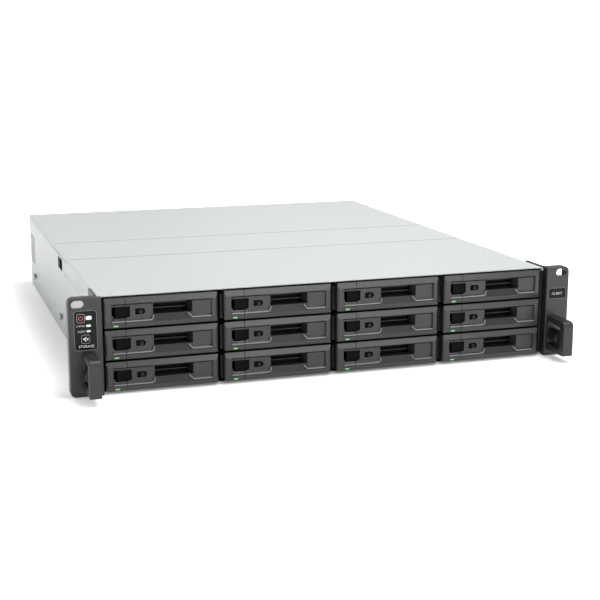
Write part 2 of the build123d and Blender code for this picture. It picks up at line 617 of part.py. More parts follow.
def control_fascia():
    """The glossy panel in the left ear, with openings for two buttons."""
    plate = prism(outline(FASCIA_X, FASCIA_Z, 2.4), (0.5, 1.6))
    plate -= prism(outline(POWER_X, POWER_Z, 2.0), (0, 3))
    plate -= prism(outline(MUTE_X, MUTE_Z, 2.0), (0, 3))
    lights = []
    for x, z, radius in FASCIA_LIGHTS:
        inset = 0.02
        plate -= prism(outline(x, z, radius), (0, 3))
        glass = outline((x[0] + inset, x[1] - inset), (z[0] + inset, z[1] - inset), radius - inset)
        lights.append(prism(glass, (0.45, 1.6)))
    return [plate] + lights


def push_button(x, z):
    """A front panel button with its plunger."""
    gap = 0.15
    cap = prism(outline((x[0] + gap, x[1] - gap), (z[0] + gap, z[1] - gap), 1.85), (0.2, 5.0))
    cap = fillet(cap.faces().sort_by(Axis.Y)[0].edges(), 0.4)
    return cap + rod(sum(x) / 2, sum(z) / 2, 1.8, (4.5, 8.4))


# ---------------------------------------------------------------- electronics and rear wall

def hex_holes(x, z, pitch=6.0, across=4.6):
    """A honeycomb of holes that fills a rectangle of the rear wall."""
    cells = []
    row_pitch = pitch * 0.866
    rows = int((z[1] - z[0]) / row_pitch)
    for row in range(rows):
        shift = pitch / 2 if row % 2 else 0.0
        count = int((x[1] - x[0] - shift) / pitch)
        for index in range(count):
            centre = Pos(x[0] + shift + pitch * (index + 0.5), z[0] + row_pitch * (row + 0.5))
            cells.append(centre * Rot(0, 0, 30) * RegularPolygon(across / 2, 6, major_radius=False))
    return prism(Sketch() + cells, (PANEL_FRONT - 2, REAR_FACE + 2))


def rear_panel():
    """The wall at the back, with openings for the power supply, ports and expansion slot."""
    panel = block((-PANEL_HALF, PANEL_HALF), (PANEL_FRONT, REAR_FACE), (SHEET + 0.1, COVER_UNDER - 0.1))
    panel += block((-PANEL_HALF + 1, PANEL_HALF - 9), (PANEL_FRONT - 12, PANEL_FRONT + 0.2),
                   (SHEET + 0.1, 2 * SHEET))
    panel += block((-PANEL_HALF + 10, PANEL_HALF - 10), (PANEL_FRONT - 12, PANEL_FRONT + 0.2),
                   (COVER_UNDER - SHEET - 0.1, COVER_UNDER - 0.1))
    panel -= block((PSU_X[0] - 0.4, PSU_X[1] + 0.4), (480, 530), (PSU_Z[0] - 0.4, PSU_Z[1] + 0.4))
    panel -= block(PORT_WINDOW_X, (500, 530), PORT_WINDOW_Z)
    panel -= rod(CONSOLE_X - 16, BOARD_Z[1] + 4.2, 1.0, (500, 530))
    slot_x = (SLOT_COVER_X[0] + 3, SLOT_COVER_X[1] - 3)
    slot_z = (SLOT_COVER_Z[0] + 2, SLOT_COVER_Z[1] - 2)
    panel -= prism(outline(slot_x, slot_z), (500, 530))
    panel -= hex_holes((-82, 96), (48, 80))
    panel -= hex_holes((106, 204), (50, 80))
    panel -= hex_holes((-200, -100), (8, 44))
    return panel


def port_flange(number):
    """The part of the port panel around one connector, counted from +X."""
    x = (PORT_SEAMS[number + 1] + 0.1, PORT_SEAMS[number] - 0.1)
    return block(x, (PANEL_FRONT, REAR_FACE), (PORT_WINDOW_Z[0] + 0.1, PORT_WINDOW_Z[1] - 0.1))


def port_body(number, x, size, sockets):
    """A connector shell on the mainboard, its flange, and one or more sockets in its face."""
    low = BOARD_Z[1] + 0.05
    shell = block((x - size[0] / 2, x + size[0] / 2), (496, REAR_FACE + 0.3), (low, low + size[1]))
    shell += port_flange(number)
    for width, height, rise, deep in sockets:
        shell -= block((x - width / 2, x + width / 2), (REAR_FACE - deep, REAR_FACE + 1),
                       (low + rise, low + rise + height))
    return shell


def mainboard():
    """The mainboard with its posts, processor cooler and memory."""
    board = block(BOARD_X, BOARD_Y, BOARD_Z)
    posts = [Pos(x, y, (SHEET + BOARD_Z[0]) / 2) * Cylinder(3.0, BOARD_Z[0] - SHEET - 0.1)
             for x in (-196, -60, 82) for y in (306, 400, 488)]
    cooler = block((-30, 42), (360, 432), (BOARD_Z[1] + 2.0, BOARD_Z[1] + 44))
    cooler -= [block((-27 + step * 4.4, -24.6 + step * 4.4), (350, 440), (BOARD_Z[1] + 7.0, 70))
               for step in range(16)]
    chip = block((-12, 24), (378, 414), (BOARD_Z[1] + 0.05, BOARD_Z[1] + 1.95))
    memory = [block((-96 - step * 12, -91.5 - step * 12), (330, 463), (BOARD_Z[1] + 0.05, BOARD_Z[1] + 34))
              for step in range(2)]
    return [board, cooler, chip] + posts + memory


def rear_ports():
    """The network, USB, expansion and console connectors along the mainboard's back edge."""
    network = [(11.8, 8.4, 2.2, 14.0)]
    usb = [(12.2, 4.6, 1.8, 12.0), (12.2, 4.6, 9.2, 12.0)]
    ports = [port_body(number, x, RJ45_SIZE, network) for number, x in enumerate(RJ45_X)]
    ports.append(port_body(3, USB_X, USB_SIZE, usb))
    ports.append(port_body(4, EXPANSION_X, EXPANSION_SIZE, [(24.0, 5.0, 2.0, 9.0)]))
    console = rod(CONSOLE_X, BOARD_Z[1] + 4.2, 3.8, (500, REAR_FACE + 0.2)) + port_flange(5)
    ports.append(console - rod(CONSOLE_X, BOARD_Z[1] + 4.2, 1.8, (506, REAR_FACE + 1)))
    return ports


def power_supply():
    """The power module: a steel box with a mains inlet and its own fan behind a ring grille."""
    back = REAR_FACE + 0.8
    case = block(PSU_X, (PSU_FRONT, back), PSU_Z)
    case = fillet(case.edges().filter_by(Axis.Y), 0.8)
    case -= prism(outline((INLET_X - 13.8, INLET_X + 13.8), (INLET_Z - 10.2, INLET_Z + 10.2), 3.0),
                  (back - 17, back + 1))
    pin = block((-2, 2), (back - 17.1, back - 3), (-1, 1))
    pins = [Pos(INLET_X + x, 0, INLET_Z + z) * pin for x, z in ((-7, -2.2), (0, 2.2), (7, -2.2))]
    rings = Sketch()
    for radius in (17.0, 13.0, 9.0):
        rings += Circle(radius) - Circle(radius - 2.4)
    rings -= [Rot(0, 0, angle) * Rectangle(40, 2.4) for angle in (45, 135)]
    case -= prism(Pos(PSU_FAN_X, INLET_Z) * rings, (back - 6, back + 1))
    return case + pins


def screw(x, z):
    """A pan-head screw in the rear wall."""
    head = fillet(rod(x, z, 3.2, (REAR_FACE + 0.05, REAR_FACE + 2.0)).edges().sort_by(Axis.Y)[-1], 0.8)
    cross = block((x - 1.8, x + 1.8), (REAR_FACE + 1, REAR_FACE + 3), (z - 0.35, z + 0.35))
    cross += block((x - 0.35, x + 0.35), (REAR_FACE + 1, REAR_FACE + 3), (z - 1.8, z + 1.8))
    return head - cross


def slot_cover():
    """The blanking plate over the low-profile expansion slot."""
    plate = block(SLOT_COVER_X, (REAR_FACE + 0.05, REAR_FACE + 1.0), SLOT_COVER_Z)
    holes = [prism(Pos(SLOT_COVER_X[0] + 16 + step * 12.5, sum(SLOT_COVER_Z) / 2) * SlotOverall(9.0, 3.4),
                   (REAR_FACE - 2, REAR_FACE + 3)) for step in range(7)]
    return plate - holes


def write_unit():
    write("chassis_base", chassis_base())
    write("rear_panel", rear_panel())
    write("front_cover", front_cover())
    write("fan_cover", fan_cover())
    write("rear_cover", rear_cover())
    latch = cover_latch()
    write("cover_latch_left", latch)
    write("cover_latch_right", mirrored(latch))
    write("drive_cage", drive_cage())
    write("fan_frames", *[fan_frame(x) for x in FAN_X])
    for number, x in enumerate(FAN_X, 1):
        write(f"fan_rotor_{number}", fan_rotor(x))
    write("left_ear", *left_ear())
    write("right_ear", *right_ear())
    write("pull_handles", pull_handle(-1), pull_handle(1))
    write("captive_screw_left", captive_screw(-1))
    write("captive_screw_right", captive_screw(1))
    write("control_fascia", *control_fascia())
    write("power_button", push_button(POWER_X, POWER_Z))
    write("mute_button", push_button(MUTE_X, MUTE_Z))
    write("circuit_boards", *backplane(), *mainboard())
    write("rear_ports", *rear_ports())
    write("power_supply", power_supply())
    screws = [screw(x, z) for x, z in ((-205, 80), (-205, 8), (98, 8), (98, 40), (210.5, 62), (-86, 40))]
    write("fasteners", slot_cover(), *screws)


os.makedirs("parts", exist_ok=True)
write_trays()
write_unit()
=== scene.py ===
"""Looks for the two-unit rack-mount network attached storage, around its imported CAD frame."""

import math

import bmesh
import bpy
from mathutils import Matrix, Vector


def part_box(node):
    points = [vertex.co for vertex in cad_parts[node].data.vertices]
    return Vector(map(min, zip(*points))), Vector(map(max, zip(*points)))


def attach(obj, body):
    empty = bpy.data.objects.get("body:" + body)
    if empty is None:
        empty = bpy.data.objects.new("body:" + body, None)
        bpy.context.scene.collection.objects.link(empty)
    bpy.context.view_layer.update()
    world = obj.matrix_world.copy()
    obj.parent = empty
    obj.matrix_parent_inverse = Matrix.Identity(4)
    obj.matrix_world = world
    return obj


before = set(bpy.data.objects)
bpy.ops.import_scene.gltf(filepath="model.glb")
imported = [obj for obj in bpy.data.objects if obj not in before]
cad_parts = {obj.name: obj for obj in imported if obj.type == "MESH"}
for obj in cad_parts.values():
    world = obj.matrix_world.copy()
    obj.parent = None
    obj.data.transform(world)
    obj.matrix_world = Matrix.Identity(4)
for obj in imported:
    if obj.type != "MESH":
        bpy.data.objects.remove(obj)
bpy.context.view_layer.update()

MM = 0.001
COLUMNS, ROWS = 4, 3
BEZEL_HALF_WIDTH = 50.4
TRAYS = COLUMNS * ROWS

# The ears' front face is the plane that every measure in Y starts from.
FACE_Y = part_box("left_ear")[0].y
TOP_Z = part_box("front_cover")[1].z
WALL_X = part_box("front_cover")[1].x
REAR_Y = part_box("rear_panel")[1].y

# The same in millimetres
COVER_HALF = WALL_X / MM
COVER_HEIGHT = TOP_Z / MM
FLANGE_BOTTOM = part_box("front_cover")[0].z / MM
REAR = REAR_Y / MM - FACE_Y / MM


def at(x, y, z):
    """A point in millimetres, measured back from the ears' front face, as a point in the frame."""
    return Vector((x * MM, FACE_Y + y * MM, z * MM))


# ---------------------------------------------------------------- materials

class Nodes:
    """A short way to build a node tree."""

    def __init__(self, material):
        self.tree = material.node_tree
        self.shader = self.tree.nodes["Principled BSDF"]

    def add(self, kind, **settings):
        node = self.tree.nodes.new("ShaderNode" + kind)
        for name, value in settings.items():
            if hasattr(node, name):
                setattr(node, name, value)
            else:
                node.inputs[name.replace("_", " ").title()].default_value = value
        return node

    def link(self, a, b):
        self.tree.links.new(a, b)


def finish_material(name, colour, rough, *, metal=0.0, spread=0.06, patch=14.0, grain=0.0, grain_scale=2600.0,
                    edge=0.0, rough_spread=0.06, specular=0.5):
    """A painted, moulded or metal surface: uneven colour and roughness, a fine grain and softened edges."""
    material = bpy.data.materials.new(name)
    material.use_nodes = True
    n = Nodes(material)
    shader = n.shader
    shader.inputs["Metallic"].default_value = metal
    shader.inputs["Specular IOR Level"].default_value = specular
    source = n.add("TexCoord").outputs["Object"]
    cloud = n.add("TexNoise", scale=patch, detail=4.0, roughness=0.6)
    n.link(source, cloud.inputs["Vector"])
    ramp = n.add("ValToRGB")
    low, high = ramp.color_ramp.elements
    low.position, high.position = 0.3, 0.7
    low.color = [c * (1 - spread) for c in colour] + [1]
    high.color = [min(1, c * (1 + spread)) for c in colour] + [1]
    n.link(cloud.outputs["Fac"], ramp.inputs["Fac"])
    n.link(ramp.outputs["Color"], shader.inputs["Base Color"])
    fine = n.add("TexNoise", scale=grain_scale, detail=2.0, roughness=0.5)
    n.link(source, fine.inputs["Vector"])
    shine = n.add("MapRange")
    shine.inputs["To Min"].default_value = max(0.02, rough - rough_spread)
    shine.inputs["To Max"].default_value = min(1.0, rough + rough_spread)
    n.link(cloud.outputs["Fac"], shine.inputs["Value"])
    n.link(shine.outputs["Result"], shader.inputs["Roughness"])
    normal = None
    if edge:
        soft = n.add("Bevel", samples=4)
        soft.inputs["Radius"].default_value = edge * MM
        normal = soft.outputs["Normal"]
    if grain:
        bump = n.add("Bump")
        bump.inputs["Strength"].default_value = grain
        bump.inputs["Distance"].default_value = 0.00005
        n.link(fine.outputs["Fac"], bump.inputs["Height"])
        if normal:
            n.link(normal, bump.inputs["Normal"])
        normal = bump.outputs["Normal"]
    if normal:
        n.link(normal, shader.inputs["Normal"])
    return material


def glow_material(name, colour, strength, rough=0.3):
    material = finish_material(name, colour, rough, spread=0.1, patch=900.0)
    shader = material.node_tree.nodes["Principled BSDF"]
    shader.inputs["Emission Color"].default_value = (*colour, 1)
    shader.inputs["Emission Strength"].default_value = strength
    return material


COVER = finish_material("cover_paint", (0.540, 0.568, 0.564), 0.40, spread=0.012, grain=0.22,
                        grain_scale=1900, edge=0.6)
# The chassis paint is the cover paint darkened: painted shade for the side walls, also laid on the covers'
# side lips
CHASSIS_SHADED = finish_material("chassis_paint", (0.400, 0.421, 0.418), 0.40, spread=0.02, grain=0.22,
                          grain_scale=1900, edge=0.5)
EAR = finish_material("ear_paint", (0.0215, 0.0245, 0.025), 0.42, spread=0.05, grain=0.45,
                      grain_scale=2400, edge=0.9)
HANDLE = finish_material("handle_paint", (0.0165, 0.0185, 0.0185), 0.40, spread=0.06, grain=0.45,
                         grain_scale=2400, edge=0.9)
BEZEL = finish_material("tray_plastic", (0.0245, 0.027, 0.027), 0.34, spread=0.05, grain=0.45,
                        grain_scale=2800, edge=0.55)
# Painted shade: a darker copy of the tray plastic for faces that lie in shade
PAINTED_SHADE = finish_material("painted_shade_plastic", (0.0105, 0.0117, 0.0117), 0.42, spread=0.05, grain=0.45,
                        grain_scale=2800, edge=0.4, specular=0.35)
# Painted shade: a darker copy of the tray plastic for the low rail, which faces down
LOW_RAIL_SHADE = finish_material("low_rail_painted_shade", (0.0125, 0.014, 0.014), 0.42, spread=0.05, grain=0.45,
                           grain_scale=2800, edge=0.4, specular=0.4)
# Painted highlight: a bright bead along the pockets' lips
LIP_HIGHLIGHT = finish_material("lip_painted_highlight", (0.215, 0.225, 0.225), 0.30, spread=0.05, patch=300, edge=0.2)
# The sleds' own dark plastic, also laid as painted shade on the tray fronts' edges and as dark sheets behind
# the side vents
SLED_AND_SHADE = finish_material("sled_plastic_and_painted_shade", (0.0042, 0.0042, 0.0046), 0.55, spread=0.06, grain=0.4, edge=0.3,
                       specular=0.3)
# The buttons' own black plastic, also laid as painted shade in the keyholes
BUTTON_AND_SHADE = finish_material("button_plastic", (0.0022, 0.0022, 0.0022), 0.45, spread=0.1, grain=0.2,
                         edge=0.5, specular=0.07)
GLOSS = finish_material("gloss_black", (0.0025, 0.0025, 0.003), 0.16, spread=0.1, rough_spread=0.03,
                        specular=0.16, edge=0.25)
# Painted shade: the drive cage's steel painted near black
CAGE_SHADE = finish_material("cage_steel", (0.0035, 0.0035, 0.004), 0.7, spread=0.08, grain=0.3, specular=0.06)
DRIVE = finish_material("drive_alloy", (0.50, 0.51, 0.52), 0.36, metal=1.0, spread=0.04, grain=0.2,
                        edge=0.5)
# Painted shade: the drives' front faces painted near black behind the vents
DRIVE_FACE_SHADE = finish_material("drive_face_painted_shade", (0.006, 0.006, 0.007), 0.7, spread=0.08, grain=0.2,
                             specular=0.2)
ZINC = finish_material("zinc_steel", (0.58, 0.59, 0.59), 0.34, metal=1.0, spread=0.06, patch=60, grain=0.15,
                       edge=0.5)
DULL_STEEL = finish_material("dull_steel", (0.16, 0.165, 0.165), 0.5, metal=0.3, spread=0.08, patch=60,
                             grain=0.2)
NICKEL = finish_material("nickel_steel", (0.42, 0.42, 0.43), 0.26, metal=1.0, spread=0.05, patch=200,
                         edge=0.3)
# The side studs' light zinc, brightened further as a painted highlight
RIVET_AND_HIGHLIGHT = finish_material("rivet_zinc_and_painted_highlight", (0.88, 0.89, 0.89), 0.36, spread=0.04, patch=200, edge=0.5)
# Painted highlight: near white for the cover's front edge, hem and side ledges
EDGE_HIGHLIGHT = finish_material("edge_painted_highlight", (0.86, 0.88, 0.88), 0.40, spread=0.02, grain=0.2, edge=0.3)
# Painted shadow: dark strips in the cover seams
SEAM_SHADOW = finish_material("seam_shadow", (0.055, 0.058, 0.058), 0.6, spread=0.05, patch=100)
LOCK = finish_material("lock_steel", (0.026, 0.026, 0.027), 0.28, metal=1.0, spread=0.05, patch=400,
                       edge=0.3)
BOARD = finish_material("solder_mask", (0.012, 0.075, 0.032), 0.36, spread=0.12, patch=180, grain=0.2)
FAN = finish_material("fan_plastic", (0.012, 0.012, 0.013), 0.42, spread=0.08, grain=0.2, edge=0.4)
KNOB = finish_material("knob_metal", (0.012, 0.013, 0.014), 0.34, spread=0.08, grain=0.3, edge=0.3)
# The sockets' own dark plastic, also laid as painted shade on the fan grille's groove floors
SOCKET_AND_SHADE = finish_material("socket_plastic_and_painted_shade", (0.008, 0.008, 0.009), 0.5, spread=0.08, grain=0.2,
                         specular=0.3)
WHITE_INK = finish_material("white_ink", (0.78, 0.79, 0.79), 0.5, spread=0.05, patch=1500)
SILVER_INK = finish_material("silver_ink", (0.52, 0.53, 0.53), 0.4, spread=0.05, patch=1500)
RED_INK = finish_material("red_ink", (0.36, 0.06, 0.04), 0.45, spread=0.08, patch=1500)
RING_INK = finish_material("ring_ink", (0.20, 0.185, 0.175), 0.45, spread=0.05, patch=1500)
# Painted highlight: a light grey for the rims round the fascia and the name plate
RIM_HIGHLIGHT = finish_material("rim_painted_highlight", (0.13, 0.14, 0.14), 0.35, spread=0.05, patch=300, edge=0.2)
PAPER = finish_material("label_paper", (0.74, 0.74, 0.72), 0.6, spread=0.02, patch=80)
BLUE_PLASTIC = finish_material("blue_plastic", (0.02, 0.07, 0.28), 0.4, spread=0.06, patch=400)
GREEN_TAB = finish_material("green_tab", (0.03, 0.20, 0.07), 0.4, spread=0.06, patch=400, edge=0.3)
GOLD = finish_material("contact_gold", (0.86, 0.62, 0.24), 0.3, metal=1.0, spread=0.05)
POWER_GLOW = glow_material("power_light", (0.66, 0.74, 0.78), 0.28)
GREEN_GLOW = glow_material("status_light", (0.62, 0.88, 0.56), 0.45)
PALE_LENS = finish_material("unlit_lens", (0.62, 0.68, 0.62), 0.3, spread=0.05, patch=900)
TRAY_GLOW = glow_material("activity_light", (0.16, 0.50, 0.18), 0.36)


def paint(names, material):
    """Gives CAD nodes one material."""
    for name in [names] if isinstance(names, str) else names:
        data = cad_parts[name].data
        data.materials.clear()
        data.materials.append(material)
        for polygon in data.polygons:
            polygon.material_index = 0


def paint_within(name, material, low, high, sideways=1.0):
    """Gives a second material to the faces of a CAD node whose corners all lie in a box, in millimetres.

    A face that turns further to the left or right than the last number is passed over.
    """
    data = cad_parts[name].data
    data.materials.append(material)
    index = len(data.materials) - 1
    a, b = at(*low), at(*high)
    for polygon in data.polygons:
        if abs(polygon.normal.x) > sideways:
            continue
        corners = [data.vertices[v].co for v in polygon.vertices]
        if all(a[i] <= c[i] <= b[i] for c in corners for i in range(3)):
            polygon.material_index = index


COVERS = ("front_cover", "rear_cover", "fan_cover")
paint(COVERS, COVER)
paint(["chassis_base", "rear_panel"], CHASSIS_SHADED)
paint(["cover_latch_left", "cover_latch_right"], SLED_AND_SHADE)
paint(["left_ear", "right_ear"], EAR)
paint("pull_handles", HANDLE)
# The drive cage is painted near black as painted shade
paint("drive_cage", CAGE_SHADE)
paint("circuit_boards", BOARD)
paint(["fan_frames", "fan_rotor_1", "fan_rotor_2", "fan_rotor_3"], FAN)
paint(["rear_ports", "power_supply"], ZINC)
paint("fasteners", NICKEL)
paint(["captive_screw_left", "captive_screw_right"], KNOB)
paint("control_fascia", GLOSS)
paint(["power_button", "mute_button"], GLOSS)

# The power module's case, the studs on the side walls in light zinc with a painted highlight, the covers'
# side lips in the darker chassis paint as painted shade, and the front edge painted near white as a painted
# highlight
OUTSIDE = 240
paint_within("power_supply", DULL_STEEL, (90, 300, 0), (OUTSIDE, REAR - 1.5, 60))
paint_within("fasteners", RIVET_AND_HIGHLIGHT, (-OUTSIDE, 20, 0), (-213, 560, 88))
paint_within("fasteners", RIVET_AND_HIGHLIGHT, (213, 20, 0), (OUTSIDE, 560, 88))
for name in COVERS:
    for low, high in ((-OUTSIDE, 0.2 - COVER_HALF), (COVER_HALF - 0.2, OUTSIDE)):
        paint_within(name, CHASSIS_SHADED, (low, 0, 0), (high, 560, 86.9))
paint_within("front_cover", EDGE_HIGHLIGHT, (-220, 12.0, 86), (220, 12.3, 88))

# Materials and painted shade inside boxes: their spans in X, Y and Z, with X and Z from the middle of a
# tray's front
FACING_FRONT = 0.05
TRAY_PARTS_AND_SHADE = (
    (SLED_AND_SHADE, (-53, 53), (10.45, 162), (-14, 14)),
    (DRIVE, (-50.86, 50.86), (14.5, 162.5), (-13.2, 13.2)),
    # The drives' front faces are painted near black as painted shade behind the vents
    (DRIVE_FACE_SHADE, (-51, 51), (14.9, 18.6), (-13.2, 13.2)),
    (TRAY_GLOW, (-42.32, -38.38), (0.8, 3.02), (-11.92, -10.68)),
)
# The keyhole painted black as painted shade, its lock, and painted shade on the ramp below the vent and the
# slanting wall beside it
LEVER_LOCK_AND_SHADES = (
    (BUTTON_AND_SHADE, (-23.3, -14.2), (1.95, 4.35), (-2.5, 3.3)),
    (LOCK, (-19.9, -15.9), (2.5, 4.35), (-2.2, 1.8)),
    (PAINTED_SHADE, (-7.2, 27.7), (-0.1, 2.3), (-11, -2.6), FACING_FRONT),
    (PAINTED_SHADE, (23.7, 27.7), (1.8, 8.7), (-2.8, 8.1)),
)
# Painted shade on the sloping foot of both pockets, the low rail, and the top, bottom and side faces, where
# the gaps between trays fall dark
FRONT_PAINTED_SHADES = (
    (PAINTED_SHADE, (-44.5, -9.0), (-0.1, 2.1), (-8.1, -5.7), FACING_FRONT),
    (PAINTED_SHADE, (27.0, 44.9), (-0.1, 2.1), (-8.1, -5.7), FACING_FRONT),
    (LOW_RAIL_SHADE, (-51, 51), (-0.1, 0.05), (-13.5, -7.6)),
    (LOW_RAIL_SHADE, (-51, 51), (-0.1, 1.9), (-13.5, -11.0)),
    (SLED_AND_SHADE, (-51, 51), (1.4, 9.7), (-13.5, -12.95)),
    (SLED_AND_SHADE, (-51, 51), (1.4, 9.7), (13.1, 13.5)),
    (SLED_AND_SHADE, (-50.5, -50.3), (2.9, 9.7), (-14, 14)),
    (SLED_AND_SHADE, (49.9, 50.5), (1.5, 9.7), (-14, 14)),
)


def paint_from_middle(name, centre, finishes):
    for material, x, y, z, *sideways in finishes:
        low = (centre[0] + x[0], y[0], centre[1] + z[0])
        high = (centre[0] + x[1], y[1], centre[1] + z[1])
        paint_within(name, material, low, high, *sideways)


TRAY_CENTRES = {}
for number in range(1, TRAYS + 1):
    tray, lever = f"tray_{number:02d}", f"tray_lever_{number:02d}"
    lever_low, lever_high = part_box(lever)
    centre = (lever_high.x / MM - BEZEL_HALF_WIDTH, (lever_low.z + lever_high.z) / 2 / MM)
    TRAY_CENTRES[number] = centre
    paint([tray, lever], BEZEL)
    paint(f"tray_button_{number:02d}", BUTTON_AND_SHADE)
    paint_from_middle(tray, centre, TRAY_PARTS_AND_SHADE + FRONT_PAINTED_SHADES)
    paint_from_middle(lever, centre, LEVER_LOCK_AND_SHADES + FRONT_PAINTED_SHADES)

# ---------------------------------------------------------------- small pieces

FASCIA_X, FASCIA_Z = (-235.7, -217.1), (42.3, 76.2)
POWER_X, POWER_Z = (-234.2, -226.2), (65.7, 74.5)
MUTE_X, MUTE_Z = (-230.7, -222.3), (47.4, 56.0)
PLATE_X, PLATE_Z = (219.6, 238.3), (56.4, 66.8)
PLATE_DEPTH = 1.2
CAP_FACE = 0.2
LABEL_FACE = 0.5
PRINT_DEPTH = 0.4
CORNER_STEPS = 5
ROD_SIDES = 10


def around(middle, half):
    """The span about a middle."""
    return middle - half, middle + half


def past(start, low, high):
    """The span between two distances past a point."""
    return start + low, start + high


def rounded(x, z, radius):
    """The corners of a rectangle with round corners, in X and Z, in order."""
    points = []
    centres = ((x[1] - radius, z[1] - radius), (x[0] + radius, z[1] - radius),
               (x[0] + radius, z[0] + radius), (x[1] - radius, z[0] + radius))
    for quarter, (cx, cz) in enumerate(centres):
        for step in range(CORNER_STEPS + 1):
            angle = math.pi / 2 * (quarter + step / CORNER_STEPS)
            points.append((cx + radius * math.cos(angle), cz + radius * math.sin(angle)))
    return points


def grown(x, z, by):
    return (x[0] - by, x[1] + by), (z[0] - by, z[1] + by)


def finished(name, mesh, material, body):
    """Puts a mesh in the scene as a piece that rides a body."""
    mesh.materials.append(material)
    piece = bpy.data.objects.new(name, mesh)
    bpy.context.scene.collection.objects.link(piece)
    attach(piece, body)
    return piece


def from_bmesh(name, bm, material, body):
    bmesh.ops.remove_doubles(bm, verts=bm.verts, dist=1e-7)
    bmesh.ops.recalc_face_normals(bm, faces=bm.faces)
    mesh = bpy.data.meshes.new(name)
    bm.to_mesh(mesh)
    bm.free()
    return finished(name, mesh, material, body)


def loop_of(bm, points, y):
    return [bm.verts.new(at(x, y, z)) for x, z in points]


def bridge(bm, first, second):
    for i in range(len(first)):
        j = (i + 1) % len(first)
        bm.faces.new((first[i], first[j], second[j], second[i]))


def add_plate(bm, x, z, radius, front, back, soften=0.12):
    """A plate with round corners and a softened front edge."""
    rear = loop_of(bm, rounded(x, z, radius), back)
    edge = loop_of(bm, rounded(x, z, radius), front + soften)
    face = loop_of(bm, rounded(*grown(x, z, -soften), max(0.02, radius - soften)), front)
    bridge(bm, rear, edge)
    bridge(bm, edge, face)
    bm.faces.new(face)
    bm.faces.new(rear)


def add_frame(bm, x, z, radius, width, front, back):
    """A thin frame with round corners, whose front is crowned."""
    outer, inner = rounded(x, z, radius), rounded(*grown(x, z, -width), max(0.05, radius - width))
    middle = rounded(*grown(x, z, -width / 2), max(0.05, radius - width / 2))
    drop = min(width / 2, (back - front) / 2)
    rings = [loop_of(bm, outer, back), loop_of(bm, outer, front + drop), loop_of(bm, middle, front),
             loop_of(bm, inner, front + drop), loop_of(bm, inner, back)]
    for first, second in zip(rings, rings[1:] + rings[:1]):
        bridge(bm, first, second)


def add_stroke(bm, points, width, front, back):
    """A flat raised line through points in X and Z."""
    left, right = [], []
    for i, (x, z) in enumerate(points):
        ax, az = points[max(0, i - 1)]
        bx, bz = points[min(len(points) - 1, i + 1)]
        along = Vector((bx - ax, bz - az)).normalized() * width / 2
        left.append((x - along.y, z + along.x))
        right.append((x + along.y, z - along.x))
    outline = left + right[::-1]
    low, high = loop_of(bm, outline, back), loop_of(bm, outline, front)
    bridge(bm, low, high)
    count = len(points)
    for side in (low, high):
        for i in range(count - 1):
            bm.faces.new((side[i], side[i + 1], side[2 * count - 2 - i], side[2 * count - 1 - i]))


def add_highlight_bead(bm, points):
    """A bead on a pocket's lower edge, painted bright as a painted highlight."""
    add_stroke(bm, points, 0.9, 0.06, 0.9)


def add_rod(bm, a, b, radius):
    """A thin round rod between two points in millimetres."""
    start, end = Vector(a), Vector(b)
    turn = (end - start).to_track_quat("Z", "Y")
    rings = []
    for centre in (start, end):
        ring = []
        for i in range(ROD_SIDES):
            angle = 2 * math.pi * i / ROD_SIDES
            spot = centre + turn @ Vector((radius * math.cos(angle), radius * math.sin(angle), 0))
            ring.append(bm.verts.new(at(*spot)))
        rings.append(ring)
        bm.faces.new(ring)
    bridge(bm, *rings)


def add_bar(bm, x, y, z, tip=0.0):
    """A small bar whose edges at the end of highest Y are drawn in by the tip."""
    levels = [(y[0], 0.0), (y[1], tip)]
    if tip:
        levels.insert(1, (y[1] - tip, 0.0))
    rings = []
    for depth, inset in levels:
        left, right, low, high = x[0] + inset, x[1] - inset, z[0] + inset, z[1] - inset
        rings.append(loop_of(bm, [(left, low), (right, low), (right, high), (left, high)], depth))
    for first, second in zip(rings, rings[1:]):
        bridge(bm, first, second)
    bm.faces.new(rings[0])
    bm.faces.new(rings[-1])


def lettering(name, words, x, z, y, material, body):
    """Raised printing that fills the span given in X, centred on a height."""
    curve = bpy.data.curves.new(name, "FONT")
    curve.body = words
    curve.extrude = 0.01
    curve.resolution_u = 3
    holder = bpy.data.objects.new(name, curve)
    bpy.context.scene.collection.objects.link(holder)
    bpy.context.view_layer.update()
    mesh = bpy.data.meshes.new_from_object(holder.evaluated_get(bpy.context.evaluated_depsgraph_get()))
    bpy.data.objects.remove(holder)
    xs = [v.co.x for v in mesh.vertices]
    ys = [v.co.y for v in mesh.vertices]
    scale = (x[1] - x[0]) / (max(xs) - min(xs))
    for v in mesh.vertices:
        across = (v.co.x - (min(xs) + max(xs)) / 2) * scale
        rise = (v.co.y - (min(ys) + max(ys)) / 2) * scale
        v.co = at(sum(x) / 2 + across, y - v.co.z * scale * PRINT_DEPTH, z + rise)
    mesh.name = name
    return finished(name, mesh, material, body)


def arc(x, z, radius, start, end, steps=20):
    """Points along a round arc in X and Z, with angles in degrees from straight up."""
    points = []
    for i in range(steps + 1):
        angle = math.radians(start + (end - start) * i / steps)
        points.append((x + radius * math.sin(angle), z + radius * math.cos(angle)))
    return points


# The control panel in the left ear
paint_within("control_fascia", POWER_GLOW, (-226, 0.3, 68.4), (-220.7, 1.7, 71.9))
paint_within("control_fascia", GREEN_GLOW, (-225.6, 0.3, 62.3), (-221.7, 1.7, 64.3))
paint_within("control_fascia", PALE_LENS, (-225.6, 0.3, 57.6), (-221.7, 1.7, 59.5))
